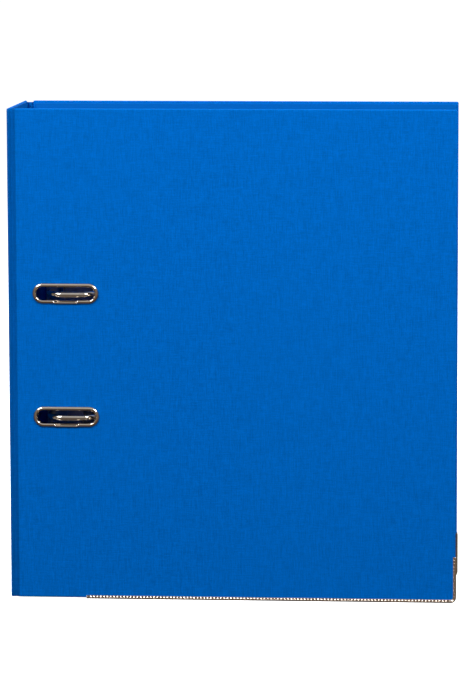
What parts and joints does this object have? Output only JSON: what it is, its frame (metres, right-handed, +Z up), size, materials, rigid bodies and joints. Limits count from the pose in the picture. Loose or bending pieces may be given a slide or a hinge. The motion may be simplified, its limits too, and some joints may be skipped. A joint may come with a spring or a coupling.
{
  "type": "lever arch file",
  "caption": "Upright A4 lever arch file with cloth-covered covers and spine, slotted eyelets, metal edge protectors, finger ring and a steel lever arch mechanism.",
  "frame": {"origin": "centre of the closed file's footprint, at the level it stands on", "axes": "+X from the spine to the covers' free edge, +Y from the front cover to the back cover, +Z up"},
  "size_m": [0.2896, 0.0824, 0.318],
  "materials": {
    "book_cloth": "blue linen-embossed cloth over board",
    "hinge_cloth": "blue linen-embossed cloth",
    "lining_paper": "smooth blue paper",
    "label_card": "matt white",
    "nickel": "nickel-plated, bright",
    "plated_steel": "nickel-plated pressed steel",
    "bright_wire": "bright plated wire",
    "spring_steel": "dark spring wire"
  },
  "bodies": {
    "back_cover": {"back_board": "book_cloth", "back_lining": "lining_paper", "back_edge_protector": "nickel", "back_hinge_strip": "hinge_cloth", "base_plate": "plated_steel", "rivet_1": "plated_steel", "rivet_2": "plated_steel", "rivet_3": "plated_steel", "rivet_4": "plated_steel", "post_lower": "bright_wire", "post_upper": "bright_wire", "shaft_saddle_lower": "plated_steel", "shaft_saddle_upper": "plated_steel", "lever_bracket": "plated_steel", "lever_pin": "plated_steel", "arch_spring": "spring_steel"},
    "spine": {"spine_board": "book_cloth", "spine_lining": "lining_paper", "finger_ring": "nickel", "finger_ring_washer": "nickel", "spine_label": "label_card", "front_hinge_strip": "hinge_cloth"},
    "front_cover": {"front_board": "book_cloth", "front_lining": "lining_paper", "front_edge_protector": "nickel", "eyelet_lower": "nickel", "eyelet_upper": "nickel"},
    "arches": {"arch_wire": "bright_wire"},
    "lever": {"lever": "plated_steel", "roller_pin": "plated_steel"},
    "roller": {"pressure_roller": "plated_steel"},
    "compressor": {"compressor_bar": "plated_steel", "compressor_clip": "nickel"}
  },
  "joints": [
    {"name": "spine_fold", "type": "hinge", "parent": "back_cover", "child": "spine", "pos_m": [-0.1438, 0.04, 0.159], "axis": [0, 0, -1], "range_deg": [0, 90]},
    {"name": "front_cover_hinge", "type": "hinge", "parent": "spine", "child": "front_cover", "pos_m": [-0.1438, -0.04, 0.159], "axis": [0, 0, -1], "range_deg": [0, 180]},
    {"name": "arch_swing", "type": "hinge", "parent": "back_cover", "child": "arches", "pos_m": [-0.1186, 0.0315, 0.158], "axis": [0, 0, -1], "range_deg": [0, 42]},
    {"name": "lever_pivot", "type": "hinge", "parent": "back_cover", "child": "lever", "pos_m": [-0.1091, 0.0199, 0.163], "axis": [-1, 0, 0], "range_deg": [0, 67]},
    {"name": "roller_spin", "type": "hinge", "parent": "lever", "child": "roller", "pos_m": [-0.1091, 0.0258, 0.15702], "axis": [1, 0, 0], "continuous": true},
    {"name": "compressor_slide", "type": "slide", "parent": "back_cover", "child": "compressor", "axis": [0, -1, 0], "range_m": [0, 0.044]}
  ],
  "couplings": [
    {"joint": "arch_swing", "follows": "spine_fold", "ratio": 0.4667},
    {"joint": "lever_pivot", "follows": "spine_fold", "ratio": 0.7444}
  ]
}
